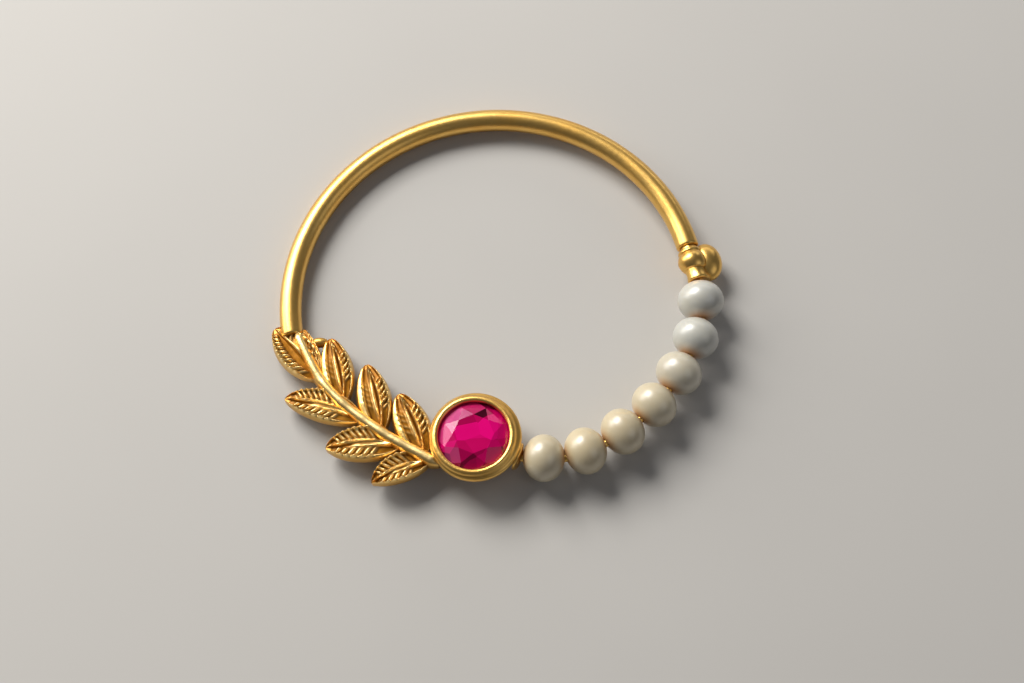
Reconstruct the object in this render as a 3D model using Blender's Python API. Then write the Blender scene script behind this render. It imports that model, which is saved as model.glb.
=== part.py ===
"""A nath nose ring: a wire hoop closed by a leaf sprig, a ruby bezel and seven strung pearls.

The ring is laid out in its own plane, round the hoop's centre: +X to the clasp, +Y to the back of
the hoop. It is then laid down on the ground as it rests by itself. Metres, +Z up.
"""
import math
from collections import namedtuple

import bmesh
import bpy
from mathutils import Matrix, Vector
from mathutils.geometry import interpolate_bezier

# Hoop wire
HOOP_RADIUS = 0.0135
WIRE_DIAMETER = 0.00145
WIRE_TIP_DIAMETER = 0.0015
HOOP_START_ANGLE = 185.9
HOOP_END_ANGLE = 11.3
SPRING_IN = 0.0001
SPRING_ARC = 45.0
WIRE_END_ROUNDING = 0.00012
TANG_DIAMETER = 0.0005
TANG_LENGTH = 0.0012

# Clasp
COLLAR_DIAMETER = 0.00156
COLLAR_LENGTH = 0.00042
COLLAR_GROOVE = 0.00026
CLASP_BEAD_DIAMETER = 0.0017
CAP_DIAMETER = 0.0015
CAP_REACH = 0.00143
CAP_LEAN = 6.3
STRING_LEAN = 0.0
STRING_END_LEAN = 10.0
KNOB_WIDTH = 0.00152
KNOB_LENGTH = 0.0025
KNOB_HEIGHT = 0.0016
KNOB_SOLDER = 0.00034
KNOB_DROP = 0.00028

# Pearls and their wire
PEARL_DIAMETER = 0.00305
PEARL_COUNT = 7
PEARL_WIRE_DIAMETER = 0.0005
PEARL_WIRE_GRIP = 0.0007
NECK_DIAMETER = 0.0011
NECK_LENGTH = 0.00008

# Ruby
RUBY_DIAMETER = 0.005
RUBY_TABLE_DIAMETER = 0.0026
RUBY_CROWN_HEIGHT = 0.00068
RUBY_GIRDLE_HEIGHT = 0.00012
RUBY_PAVILION_DEPTH = 0.00155
RUBY_GIRDLE_LEVEL = 0.0007

# Bezel cup
BEZEL_WALL = 0.00044
BEZEL_DIAMETER = RUBY_DIAMETER + 2 * BEZEL_WALL
BEZEL_BACK_DIAMETER = 0.004
BEZEL_BACK_LEVEL = -0.0013
BEZEL_FLOOR = 0.0003
BEZEL_SET_OFF = 0.00009
LIP_WALL = 0.00005
LIP_DIAMETER = RUBY_DIAMETER + 2 * LIP_WALL
LIP_COVER = 0.00024
LIP_HEIGHT = 0.00028
SADDLE_DIAMETER = 0.0018
SADDLE_THICKNESS = 0.00009
SADDLE_ANGLE = -26.0

# Leaf sprig
STEM_WIDTH = 0.001
STEM_DEPTH = 0.00045
STEM_HEIGHT = 0.00072
STEM_RIDGE_WIDTH = 0.00026
ROOT_WIDTH = 0.0012
ROOT_HEIGHT = 0.001
ROOT_LENGTH = 0.0022
STEM_END_ANGLE = 211.9
LEAF_LENGTH = 0.0047
LEAF_HALF_WIDTH = 0.0012
LEAF_HEIGHT = 0.0006
LEAF_DEPTH = 0.00045
LEAF_ARCH = 0.00018
VEIN_RELIEF = 0.00013
VEINS_PER_SIDE = 6

# Clearance between pieces
FIT_GAP = 0.00006

# Places in the ring's plane, as shares of the hoop radius
BEZEL_PLACE = (-0.1385, -0.7333)
STEM_ROUTE = ((-0.970, -0.115), (-0.835, -0.405), (-0.600, -0.643))
STRING_ROUTE = ((0.963, -0.300), (0.724, -0.625), (0.375, -0.834))

# The leaves: where each leaves the stem as a share of the stem's length, its turn from the stem's
# line in degrees, its length as a share of LEAF_LENGTH, the widths of its two sides as shares of
# LEAF_HALF_WIDTH, how far its rib bows as a share of its length, and whether it has veins.
Leaf = namedtuple("Leaf", "place turn length left right bow veined")
LEAVES = (
    Leaf(place=0.265, turn=8, length=1.03, left=1.12, right=1.00, bow=0.02, veined=True),
    Leaf(place=0.29, turn=-15, length=0.88, left=0.40, right=0.34, bow=0.03, veined=False),
    Leaf(place=0.445, turn=-35, length=1.03, left=0.96, right=0.85, bow=0.02, veined=True),
    Leaf(place=0.57, turn=20, length=1.16, left=0.86, right=1.00, bow=0.03, veined=True),
    Leaf(place=0.68, turn=-42, length=1.05, left=1.04, right=0.86, bow=0.02, veined=True),
    Leaf(place=0.795, turn=31, length=1.05, left=0.98, right=1.06, bow=0.03, veined=True),
    Leaf(place=0.92, turn=-38, length=1.01, left=1.04, right=0.92, bow=0.02, veined=True),
    Leaf(place=0.95, turn=50, length=0.85, left=0.70, right=0.95, bow=0.03, veined=True),
)

# Half of a leaf's section, from its rib to its edge: across as a share of the half width, height
# as a share of LEAF_HEIGHT, and how much of the vein relief reaches that line.
LeafLine = namedtuple("LeafLine", "across height vein")
LEAF_SECTION = (
    LeafLine(across=0.00, height=0.98, vein=0.0),
    LeafLine(across=0.10, height=0.60, vein=0.1),
    LeafLine(across=0.44, height=0.54, vein=0.7),
    LeafLine(across=0.70, height=0.60, vein=1.0),
    LeafLine(across=0.79, height=0.90, vein=0.5),
    LeafLine(across=0.89, height=1.00, vein=0.0),
    LeafLine(across=0.97, height=0.66, vein=0.0),
    LeafLine(across=1.00, height=0.05, vein=0.0),
)
LEAF_TIP_LEVEL = 0.5
LEAF_UNDERSIDE_SHARE = 0.84
LEAF_BASE_FULLNESS = 0.68
LEAF_TIP_FULLNESS = 0.78
LEAF_VEIN_SLANT = 0.1

HOOP_SIDES = 16
WIRE_SIDES = 10
BEAD_SIDES = 20
PEARL_SIDES = 16
BEZEL_SIDES = 40


def clear_scene():
    for thing in list(bpy.data.objects):
        bpy.data.objects.remove(thing, do_unlink=True)


def material(name, colour, roughness, metallic):
    made = bpy.data.materials.new(name)
    made.use_nodes = True
    shader = made.node_tree.nodes["Principled BSDF"]
    shader.inputs["Base Color"].default_value = (*colour, 1.0)
    shader.inputs["Roughness"].default_value = roughness
    shader.inputs["Metallic"].default_value = metallic
    return made


def mesh_object(name, work):
    """Make an object of a bmesh, with flat faces that point out."""
    bmesh.ops.triangulate(work, faces=work.faces)
    bmesh.ops.recalc_face_normals(work, faces=work.faces)
    mesh = bpy.data.meshes.new(name)
    work.to_mesh(mesh)
    work.free()
    thing = bpy.data.objects.new(name, mesh)
    bpy.context.collection.objects.link(thing)
    return thing


def loft(name, rings, ends=None):
    """Skin a row of rings of points with flat faces, and close both ends, to a point if one is given."""
    work = bmesh.new()
    rows = [[work.verts.new(point) for point in ring] for ring in rings]
    count = len(rows[0])
    for row, following in zip(rows, rows[1:]):
        for k in range(count):
            n = (k + 1) % count
            work.faces.new((row[k], row[n], following[n], following[k]))
    if ends:
        for row, end in zip((rows[0], rows[-1]), ends):
            tip = work.verts.new(end)
            for k in range(count):
                work.faces.new((row[k], row[(k + 1) % count], tip))
    else:
        work.faces.new(rows[0])
        work.faces.new(rows[-1])
    return mesh_object(name, work)


def turned(name, profile, sides):
    """Spin a profile of (radius, height) pairs round the Z axis into a closed solid."""
    work = bmesh.new()
    line = [work.verts.new((radius, 0.0, height)) for radius, height in profile]
    edges = [work.edges.new(pair) for pair in zip(line, line[1:])]
    if profile[0][0] > 0.0:
        edges.append(work.edges.new((line[-1], line[0])))
    bmesh.ops.spin(work, geom=line + edges, axis=(0, 0, 1), cent=(0, 0, 0),
                   angle=math.tau, steps=sides, use_merge=True)
    bmesh.ops.remove_doubles(work, verts=work.verts, dist=1e-7)
    return mesh_object(name, work)


def boolean(target, other, operation):
    """Apply one Boolean to the target's mesh, leave it in flat triangles and drop the other object."""
    modifier = target.modifiers.new("cut", "BOOLEAN")
    modifier.operation = operation
    modifier.solver = "EXACT"
    modifier.object = other
    bpy.context.view_layer.update()
    evaluated = target.evaluated_get(bpy.context.evaluated_depsgraph_get())
    result = bpy.data.meshes.new_from_object(evaluated)
    target.modifiers.clear()
    work = bmesh.new()
    work.from_mesh(result)
    bmesh.ops.triangulate(work, faces=work.faces)
    work.to_mesh(result)
    work.free()
    target.data = result
    bpy.data.objects.remove(other, do_unlink=True)


def fuse(name, pieces):
    """Join overlapping pieces into one solid."""
    whole = pieces[0]
    for piece in pieces[1:]:
        boolean(whole, piece, "UNION")
    whole.name = name
    return whole


def across(direction):
    """The level direction to the right of a direction in the ring's plane."""
    return Vector((direction.y, -direction.x, 0.0)).normalized()


def turned_by(direction, degrees):
    return Matrix.Rotation(math.radians(degrees), 3, "Z") @ direction


def place(thing, point, axis):
    """Move a piece made along +Z to a point, with its axis along a level direction."""
    side = across(axis)
    turn = Matrix((-side, Vector((0, 0, 1)), axis.normalized())).transposed().to_4x4()
    thing.matrix_world = Matrix.Translation(point) @ turn
    return thing


class Route:
    """A smooth path through points in the ring's plane, measured along its length."""

    STEPS = 24

    def __init__(self, points, start=None, end=None):
        self.samples = []
        last = len(points) - 1
        slopes = []
        for k in range(len(points)):
            slopes.append((points[min(k + 1, last)] - points[max(k - 1, 0)]).normalized())
        slopes[0] = start.normalized() if start else slopes[0]
        slopes[last] = end.normalized() if end else slopes[last]
        for k in range(last):
            reach = (points[k + 1] - points[k]).length / 3
            handles = (points[k] + slopes[k] * reach, points[k + 1] - slopes[k + 1] * reach)
            piece = interpolate_bezier(points[k], *handles, points[k + 1], self.STEPS)
            self.samples += piece if k == last - 1 else piece[:-1]
        self.distances = [0.0]
        for before, after in zip(self.samples, self.samples[1:]):
            self.distances.append(self.distances[-1] + (after - before).length)
        self.length = self.distances[-1]

    def at(self, distance):
        """The point at a distance along the path."""
        for k in range(1, len(self.samples)):
            if distance <= self.distances[k] or k == len(self.samples) - 1:
                span = self.distances[k] - self.distances[k - 1]
                share = (distance - self.distances[k - 1]) / span
                return self.samples[k - 1].lerp(self.samples[k], share)

    def direction(self, distance):
        step = self.length / 200
        return (self.at(distance + step) - self.at(distance - step)).normalized()


def ring_of(point, direction, radius, sides):
    """A circle of points square to a level direction."""
    side = across(direction)
    ring = []
    for k in range(sides):
        angle = math.tau * (k + 0.5) / sides
        ring.append(point + radius * (side * math.cos(angle) + Vector((0, 0, math.sin(angle)))))
    return ring


def tube(name, stations, sides):
    """A round bar through (point, direction, radius) stations."""
    return loft(name, [ring_of(*station, sides) for station in stations])


def hoop_point(angle):
    """A point on the hoop's centre line, which draws in a little towards the clasp."""
    turn = math.radians(angle)
    drawn = min(1.0, max(0.0, 1.0 - (angle - HOOP_END_ANGLE) / SPRING_ARC))
    return Vector((math.cos(turn), math.sin(turn), 0.0)) * (HOOP_RADIUS - SPRING_IN * drawn * drawn)


def hoop_heading(angle):
    """The hoop's direction there, running from the sprig round the back to the clasp."""
    return (hoop_point(angle - 0.5) - hoop_point(angle + 0.5)).normalized()


def hoop_degrees(length):
    return math.degrees(length / HOOP_RADIUS)


def hoop_station(angle, radius):
    return hoop_point(angle), hoop_heading(angle), radius


def hoop_bar(name, ends, radii, extra=0.0):
    """A bar along the hoop between two angles, thinning evenly, with room added all round."""
    steps = max(2, round(abs(ends[0] - ends[1]) / 4))
    stations = []
    for k in range(steps + 1):
        share = k / steps
        angle = ends[0] + (ends[1] - ends[0]) * share
        radius = radii[0] + (radii[1] - radii[0]) * share
        stations.append(hoop_station(angle, radius + extra))
    return tube(name, stations, HOOP_SIDES)


def shares_of_radius(pairs):
    return [Vector((x, y, 0.0)) * HOOP_RADIUS for x, y in pairs]


def clasp_angles():
    """Angles on the hoop of the collar's two ends and of the bead's centre."""
    collar_start = HOOP_END_ANGLE - hoop_degrees(COLLAR_GROOVE)
    collar_end = collar_start - hoop_degrees(COLLAR_LENGTH)
    bead = collar_end - hoop_degrees(CLASP_BEAD_DIAMETER * 0.37)
    return collar_start, collar_end, bead


def bezel_centre():
    return shares_of_radius([BEZEL_PLACE])[0]


def stone_centre():
    """The stone and its lip stand a little off the cup's centre, away from the pearls."""
    return bezel_centre() - Vector((BEZEL_SET_OFF, 0.0, 0.0))


def saddle_point():
    """Where the pearl wire leaves the bezel's saddle, and the way out."""
    outward = turned_by(Vector((1, 0, 0)), SADDLE_ANGLE)
    return bezel_centre() + outward * (BEZEL_DIAMETER / 2 + SADDLE_THICKNESS), outward


def stem_route():
    """The stem's path, from beside the hoop's end to the wall of the bezel."""
    outward = turned_by(Vector((1, 0, 0)), STEM_END_ANGLE)
    end = bezel_centre() + outward * (BEZEL_DIAMETER / 2 - BEZEL_WALL * 0.3)
    return Route(shares_of_radius(STEM_ROUTE) + [end])


def pearl_route():
    """The pearls' path, from the clasp's cap to the bezel's saddle."""
    chosen = shares_of_radius(STRING_ROUTE)
    bead_angle = clasp_angles()[2]
    heading = hoop_heading(bead_angle)
    first = hoop_point(bead_angle) + turned_by(heading, CAP_LEAN) * CAP_REACH
    last, outward = saddle_point()
    end = -turned_by(outward, STRING_END_LEAN)
    return Route([first] + chosen + [last], start=turned_by(heading, STRING_LEAN), end=end)


def build_hoop():
    """The hoop wire, with a rounded shoulder and a thin tang at each end."""
    radii = (WIRE_DIAMETER / 2, WIRE_TIP_DIAMETER / 2)
    tang = TANG_DIAMETER / 2
    rounding = hoop_degrees(WIRE_END_ROUNDING)
    reach = hoop_degrees(TANG_LENGTH)
    first, last = HOOP_START_ANGLE, HOOP_END_ANGLE
    steps = round((first - last) / 4)
    stations = [hoop_station(first + reach, tang), hoop_station(first, tang),
                hoop_station(first, radii[0] - WIRE_END_ROUNDING)]
    for k in range(steps + 1):
        share = k / steps
        angle = (first - rounding) + (last + rounding - first + rounding) * share
        stations.append(hoop_station(angle, radii[0] + (radii[1] - radii[0]) * share))
    stations += [hoop_station(last, radii[1] - WIRE_END_ROUNDING), hoop_station(last, tang),
                 hoop_station(last - reach, tang)]
    return tube("hoop_wire", stations, HOOP_SIDES)


def tang_socket(angle, sense):
    """The room that a tang needs beyond the wire's end, starting a little inside the wire."""
    back = hoop_degrees(TANG_LENGTH) / 4
    reach = hoop_degrees(TANG_LENGTH + FIT_GAP)
    radius = TANG_DIAMETER / 2
    return hoop_bar("socket", (angle - sense * back, angle + sense * reach), (radius, radius), FIT_GAP)


def leaf_width(share):
    """A leaf's half width along its length, from 0 at both ends to 1 where it is widest."""
    a, b = LEAF_BASE_FULLNESS, LEAF_TIP_FULLNESS
    widest = a / (a + b)
    return (share / widest) ** a * ((1 - share) / (1 - widest)) ** b


def build_root():
    """The solder boss under the hoop's end, which the hoop's tang goes into."""
    root = round_solid("root", ROOT_WIDTH / 2, ROOT_HEIGHT / 2, ROOT_LENGTH / 2)
    angle = HOOP_START_ANGLE + hoop_degrees(ROOT_LENGTH / 3)
    return place(root, hoop_point(angle), hoop_heading(angle))


def build_leaf(leaf, base, heading):
    """One cast leaf: a rounded edge, a sunken field, a raised rib and slanting raised veins."""
    turn = Matrix.Rotation(math.radians(leaf.turn), 3, "Z")
    forward = turn @ -heading
    right = across(forward)
    length = leaf.length * LEAF_LENGTH
    rows = 2 * VEINS_PER_SIDE + 2
    rings = []
    for j in range(rows + 1):
        along = 0.03 + 0.955 * j / rows
        crest = 0.0
        if leaf.veined and 0 < j < rows:
            crest = VEIN_RELIEF if j % 2 else -VEIN_RELIEF / 2

        def point(line, side):
            slant = LEAF_VEIN_SLANT * line.across * 4 * along * (1 - along)
            share = min(along + slant, 0.99)
            width = leaf.right if side > 0 else leaf.left
            out = side * line.across * width * LEAF_HALF_WIDTH * leaf_width(share)
            bow = leaf.bow * length * 4 * share * (1 - share)
            arch = LEAF_ARCH * (2 * share - 1) ** 2
            fade = min(1.0, 3 * leaf_width(share))
            level = LEAF_TIP_LEVEL + (line.height - LEAF_TIP_LEVEL) * fade
            height = level * LEAF_HEIGHT - arch + line.vein * crest * fade
            return base + forward * (share * length) + right * (out + bow) + Vector((0, 0, height))

        under = LeafLine(across=LEAF_UNDERSIDE_SHARE, height=-LEAF_DEPTH / LEAF_HEIGHT, vein=0.0)
        half = list(LEAF_SECTION) + [under]
        ring = [point(line, -1) for line in reversed(half)]
        ring += [point(line, 1) for line in half[1:]]
        rings.append(ring)
    middle = Vector((0, 0, (LEAF_HEIGHT * LEAF_TIP_LEVEL - LEAF_DEPTH) / 4))
    ends = (base + middle, base + forward * length + middle - Vector((0, 0, LEAF_ARCH)))
    return loft("leaf", rings, ends)


def build_stem(route):
    """The stem: a half-round bar with a thin ridge along its top."""
    rings = []
    steps = 16
    for k in range(steps + 1):
        distance = route.length * k / steps
        point = route.at(distance)
        side = across(route.direction(distance))
        nose = min(1.0, (route.length - distance + STEM_WIDTH / 8) / (STEM_WIDTH * 0.8))
        half = STEM_WIDTH / 2 * (0.92 + 0.16 * k / steps) * math.sqrt(nose)
        ridge = STEM_RIDGE_WIDTH / 2 * nose
        outline = ((half * 0.8, -STEM_DEPTH), (half, -STEM_DEPTH * 0.3), (half * 0.9, STEM_HEIGHT * 0.4),
                   (ridge * 1.6, STEM_HEIGHT * 0.72), (ridge, STEM_HEIGHT * 0.95))
        ring = [point + side * x + Vector((0, 0, z)) for x, z in outline]
        ring.append(point + Vector((0, 0, STEM_HEIGHT)))
        ring += [point - side * x + Vector((0, 0, z)) for x, z in reversed(outline)]
        rings.append(ring)
    ends = [route.at(distance) for distance in (-STEM_RIDGE_WIDTH, route.length + STEM_RIDGE_WIDTH)]
    return loft("stem", rings, ends)


def ruby_levels():
    """Heights of the stone's table, girdle and point above the ring's plane."""
    girdle_top = RUBY_GIRDLE_LEVEL + RUBY_GIRDLE_HEIGHT
    return girdle_top + RUBY_CROWN_HEIGHT, girdle_top, RUBY_GIRDLE_LEVEL - RUBY_PAVILION_DEPTH


def build_seat():
    """The stone's room: a hollow under a sloping seat, the bore, and the lip's opening."""
    girdle_top = ruby_levels()[1]
    radius = RUBY_DIAMETER / 2
    bore = radius + FIT_GAP
    ledge = radius * 0.8
    ledge_level = RUBY_GIRDLE_LEVEL - (radius - ledge) * RUBY_PAVILION_DEPTH / radius - 2 * FIT_GAP
    opening = radius - LIP_COVER
    clear = lip_level() + LIP_HEIGHT * 1.1
    seat = turned("seat", (
        (0.0, BEZEL_BACK_LEVEL + BEZEL_FLOOR),
        (ledge * 0.75, BEZEL_BACK_LEVEL + BEZEL_FLOOR),
        (ledge, ledge_level),
        (bore, RUBY_GIRDLE_LEVEL - 2 * FIT_GAP),
        (bore, girdle_top + FIT_GAP),
        (opening, lip_level()),
        (opening, lip_level() + LIP_HEIGHT * 0.6),
        (opening + LIP_HEIGHT * 0.3, clear),
        (0.0, clear),
    ), BEZEL_SIDES)
    seat.matrix_world = Matrix.Translation(stone_centre())
    return seat


def lip_level():
    """Where the lip's edge stands over the sloping crown."""
    crown_slope = RUBY_CROWN_HEIGHT / (RUBY_DIAMETER / 2 - RUBY_TABLE_DIAMETER / 2)
    return ruby_levels()[1] + LIP_COVER * crown_slope + 2 * FIT_GAP


def build_bezel():
    """The cup: flat closed back, bulging band, and a narrower lip burnished over the stone."""
    outer = BEZEL_DIAMETER / 2
    back = BEZEL_BACK_DIAMETER / 2
    taper = outer - back
    lip = LIP_DIAMETER / 2
    band = outer - lip
    shoulder = lip_level() + LIP_HEIGHT * 0.25
    cup = turned("bezel", (
        (0.0, shoulder - band * 0.2),
        (lip + band * 0.1, shoulder - band * 0.2),
        (lip + band * 0.28, shoulder),
        (lip + band * 0.55, shoulder - band * 0.06),
        (outer - band * 0.24, shoulder - band * 0.38),
        (outer, shoulder - band * 0.85),
        (outer - band * 0.09, shoulder - band * 1.3),
        (outer - taper * 0.23, RUBY_GIRDLE_LEVEL * 0.36),
        (outer - taper * 0.46, BEZEL_BACK_LEVEL * 0.16),
        (back + taper * 0.22, BEZEL_BACK_LEVEL * 0.65),
        (back, BEZEL_BACK_LEVEL + BEZEL_FLOOR * 0.25),
        (back - BEZEL_FLOOR * 0.25, BEZEL_BACK_LEVEL),
        (0.0, BEZEL_BACK_LEVEL),
    ), BEZEL_SIDES)
    cup.matrix_world = Matrix.Translation(bezel_centre())
    top = lip_level() + LIP_HEIGHT
    roll = LIP_WALL + LIP_COVER
    ring = turned("lip", (
        (0.0, RUBY_GIRDLE_LEVEL),
        (lip, RUBY_GIRDLE_LEVEL),
        (lip, top - roll * 0.55),
        (lip - roll * 0.12, top - roll * 0.22),
        (lip - roll * 0.38, top),
        (lip - roll * 0.68, top),
        (lip - roll * 0.92, top - roll * 0.2),
        (lip - roll * 1.1, top - roll * 0.45),
        (0.0, top - roll * 0.45),
    ), BEZEL_SIDES)
    ring.matrix_world = Matrix.Translation(stone_centre())
    boolean(cup, ring, "UNION")
    boolean(cup, build_seat(), "DIFFERENCE")
    return cup


def build_saddle():
    """The round plate that hugs the bezel's band where the pearl wire is soldered on."""
    outer = BEZEL_DIAMETER / 2
    outward = saddle_point()[1]
    half = SADDLE_DIAMETER / 2
    depth = BEZEL_WALL - 2 * FIT_GAP
    plate = turned("saddle", ((0.0, 0.0), (half, 0.0), (half, depth + half), (0.0, depth + half)), BEAD_SIDES)
    place(plate, bezel_centre() + outward * (outer - depth), outward)
    reach = outer + SADDLE_THICKNESS
    shell = turned("shell", ((0.0, -outer), (reach, -outer), (reach, outer), (0.0, outer)), 4 * BEAD_SIDES)
    shell.matrix_world = Matrix.Translation(bezel_centre())
    boolean(plate, shell, "INTERSECT")
    return plate


def build_pearl_wire(route):
    """The wire through the pearls, thick where it leaves the bezel."""
    radius = PEARL_WIRE_DIAMETER / 2
    neck = NECK_DIAMETER / 2
    last, outward = saddle_point()
    inside = last - outward * (SADDLE_THICKNESS + BEZEL_WALL / 2)
    stations = [(inside, outward, neck), (last, outward, neck)]
    stations.append((last + outward * NECK_LENGTH, outward, neck * 0.6))
    stations.append((last + outward * NECK_LENGTH, outward, radius))
    steps = 26
    reach = route.length - NECK_LENGTH * 1.5
    for k in range(steps + 1):
        distance = reach * (1 - k / steps)
        stations.append((route.at(distance), -route.direction(distance), radius))
    tip = -route.direction(0.0)
    stations.append((route.at(0.0) + tip * (PEARL_WIRE_GRIP - FIT_GAP), tip, radius))
    return tube("pearl_wire", stations, WIRE_SIDES)


def build_sprig_setting(string):
    """Sprig, bezel and pearl wire, soldered into one, with room for the hoop's end."""
    route = stem_route()
    pieces = [build_stem(route)]
    for leaf in LEAVES:
        distance = leaf.place * route.length
        pieces.append(build_leaf(leaf, route.at(distance), route.direction(distance)))
    pieces += [build_root(), build_bezel(), build_saddle(), build_pearl_wire(string)]
    whole = fuse("leaf_sprig_setting", pieces)
    first = HOOP_START_ANGLE + hoop_degrees(FIT_GAP)
    radii = (WIRE_DIAMETER / 2, WIRE_DIAMETER / 2)
    boolean(whole, hoop_bar("wire_room", (first, first - 16), radii, FIT_GAP), "DIFFERENCE")
    boolean(whole, tang_socket(HOOP_START_ANGLE, 1), "DIFFERENCE")
    return whole


def build_ruby():
    """The stone: eight-sided table, crown of stars, kites and halves, and a matching pavilion."""
    radius = RUBY_DIAMETER / 2
    table_radius = RUBY_TABLE_DIAMETER / 2
    table_level, girdle_top, point_level = ruby_levels()
    eighth = math.tau / 8

    def corner(ring_radius, step, level):
        return Vector((ring_radius * math.cos(step * eighth), ring_radius * math.sin(step * eighth), level))

    def kite_level(inner, inner_level, edge_level, middle):
        share = (middle * math.cos(eighth / 2) - inner) / (radius - inner)
        return inner_level + (edge_level - inner_level) * share

    crown_middle = table_radius + (radius - table_radius) * 0.55
    crown_level = kite_level(table_radius, table_level, girdle_top, crown_middle)
    pavilion_middle = radius * 0.3
    pavilion_level = kite_level(0.0, point_level, RUBY_GIRDLE_LEVEL, pavilion_middle)
    work = bmesh.new()
    table = [work.verts.new(corner(table_radius, k, table_level)) for k in range(8)]
    crown = [work.verts.new(corner(crown_middle, k + 0.5, crown_level)) for k in range(8)]
    girdle = [work.verts.new(corner(radius, k / 2, girdle_top)) for k in range(16)]
    under = [work.verts.new(corner(radius, k / 2, RUBY_GIRDLE_LEVEL)) for k in range(16)]
    pavilion = [work.verts.new(corner(pavilion_middle, k + 0.5, pavilion_level)) for k in range(8)]
    point = work.verts.new((0.0, 0.0, point_level))
    work.faces.new(table)
    for k in range(8):
        n = (k + 1) % 8
        left, middle, right = 2 * k, 2 * k + 1, (2 * k + 2) % 16
        work.faces.new((table[k], crown[k], table[n]))
        work.faces.new((table[n], crown[k], girdle[right], crown[n]))
        work.faces.new((crown[k], girdle[left], girdle[middle]))
        work.faces.new((crown[k], girdle[middle], girdle[right]))
        work.faces.new((pavilion[k], under[middle], under[left]))
        work.faces.new((pavilion[k], under[right], under[middle]))
        work.faces.new((point, pavilion[n], under[right], pavilion[k]))
    for k in range(16):
        n = (k + 1) % 16
        work.faces.new((girdle[k], girdle[n], under[n], under[k]))
    stone = mesh_object("ruby", work)
    stone.matrix_world = Matrix.Translation(stone_centre()) @ Matrix.Rotation(eighth / 3, 4, "Z")
    return stone


def pearl_pitch(route):
    """Pearls share out the string between the cap and the neck."""
    return (route.length - NECK_LENGTH - 2 * FIT_GAP) / PEARL_COUNT


def build_pearls(route):
    """Seven drilled pearls, a little shorter along the string than across it."""
    pitch = pearl_pitch(route)
    half = (pitch - FIT_GAP) / 2
    spots = [FIT_GAP + pitch * (k + 0.5) for k in range(PEARL_COUNT)]
    seats = []
    bend = 0.0
    for spot in spots:
        ends = route.at(spot - half), route.at(spot + half)
        axis = (ends[1] - ends[0]).normalized()
        middle = (ends[0] + ends[1]) / 2
        seats.append((middle, axis))
        bend = max(bend, abs((route.at(spot) - middle).dot(across(axis))))
    turn = max(seat[1].angle(following[1]) for seat, following in zip(seats, seats[1:]))
    bore = PEARL_WIRE_DIAMETER / 2 + bend + FIT_GAP
    half -= bore * math.tan(turn / 2)
    radius = PEARL_DIAMETER / 2
    first = math.asin(bore / radius)
    steps = 9
    profile = []
    for k in range(steps + 1):
        angle = first + (math.pi - 2 * first) * k / steps
        profile.append((radius * math.sin(angle), half * math.cos(angle) / math.cos(first)))
    pearls = []
    model = turned("pearl_1", profile, PEARL_SIDES)
    for k, seat in enumerate(seats):
        pearl = model if k == 0 else bpy.data.objects.new(f"pearl_{k + 1}", model.data)
        if k:
            bpy.context.collection.objects.link(pearl)
        pearls.append(place(pearl, *seat))
    return pearls


def build_clasp(string):
    """Collar, bead, pearl cap and side knob in one, with room for the hoop's tang and the wire."""
    collar_start, collar_end, bead_angle = clasp_angles()
    radius = COLLAR_DIAMETER / 2
    middle = (collar_start + collar_end) / 2
    swell = (collar_start - collar_end) * 0.3
    collar = tube("collar", [hoop_station(collar_start, radius * 0.86),
                             hoop_station(middle + swell, radius * 0.97),
                             hoop_station(middle, radius),
                             hoop_station(middle - swell, radius * 0.97),
                             hoop_station(collar_end, radius * 0.86),
                             hoop_station(bead_angle, radius * 0.72)], BEAD_SIDES)
    bead_point = hoop_point(bead_angle)
    heading = hoop_heading(bead_angle)
    bead = round_solid("bead", CLASP_BEAD_DIAMETER / 2, CLASP_BEAD_DIAMETER / 2, CLASP_BEAD_DIAMETER / 2)
    place(bead, bead_point, heading)
    knob = round_solid("knob", KNOB_WIDTH / 2, KNOB_HEIGHT / 2, KNOB_LENGTH / 2)
    out = CLASP_BEAD_DIAMETER / 2 + KNOB_WIDTH / 2 - KNOB_SOLDER
    place(knob, bead_point - across(heading) * out + heading * KNOB_DROP, heading)
    end, way = string.at(0.0), string.direction(0.0)
    cap_radius = CAP_DIAMETER / 2
    cap = tube("cap", [(bead_point, way, cap_radius * 0.86),
                       (end - way * cap_radius * 0.3, way, cap_radius),
                       (end, way, cap_radius * 0.9)], BEAD_SIDES)
    whole = fuse("clasp", [collar, bead, knob, cap])
    boolean(whole, tang_socket(HOOP_END_ANGLE, -1), "DIFFERENCE")
    bore = PEARL_WIRE_DIAMETER / 2 + FIT_GAP
    room = [(end + way * FIT_GAP * 3, way, bore), (end, way, bore), (end - way * PEARL_WIRE_GRIP, way, bore)]
    boolean(whole, tube("wire_room", room, WIRE_SIDES), "DIFFERENCE")
    return whole


def round_solid(name, across_half, height_half, length_half):
    """An egg-shaped bead along +Z, with its poles closed."""
    steps = 10
    profile = []
    for k in range(steps + 1):
        angle = math.pi * k / steps
        profile.append((math.sin(angle) if 0 < k < steps else 0.0, math.cos(angle)))
    bead = turned(name, profile, BEAD_SIDES)
    for vertex in bead.data.vertices:
        x, y, z = vertex.co
        vertex.co = (x * across_half, y * height_half, z * length_half)
    return bead


def finish(thing, look, sharp_angle):
    thing.data.materials.clear()
    thing.data.materials.append(look)
    thing.data.shade_smooth()
    thing.data.set_sharp_from_angle(angle=math.radians(sharp_angle))


def world_points(things):
    bpy.context.view_layer.update()
    return [thing.matrix_world @ vertex.co for thing in things for vertex in thing.data.vertices]


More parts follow.
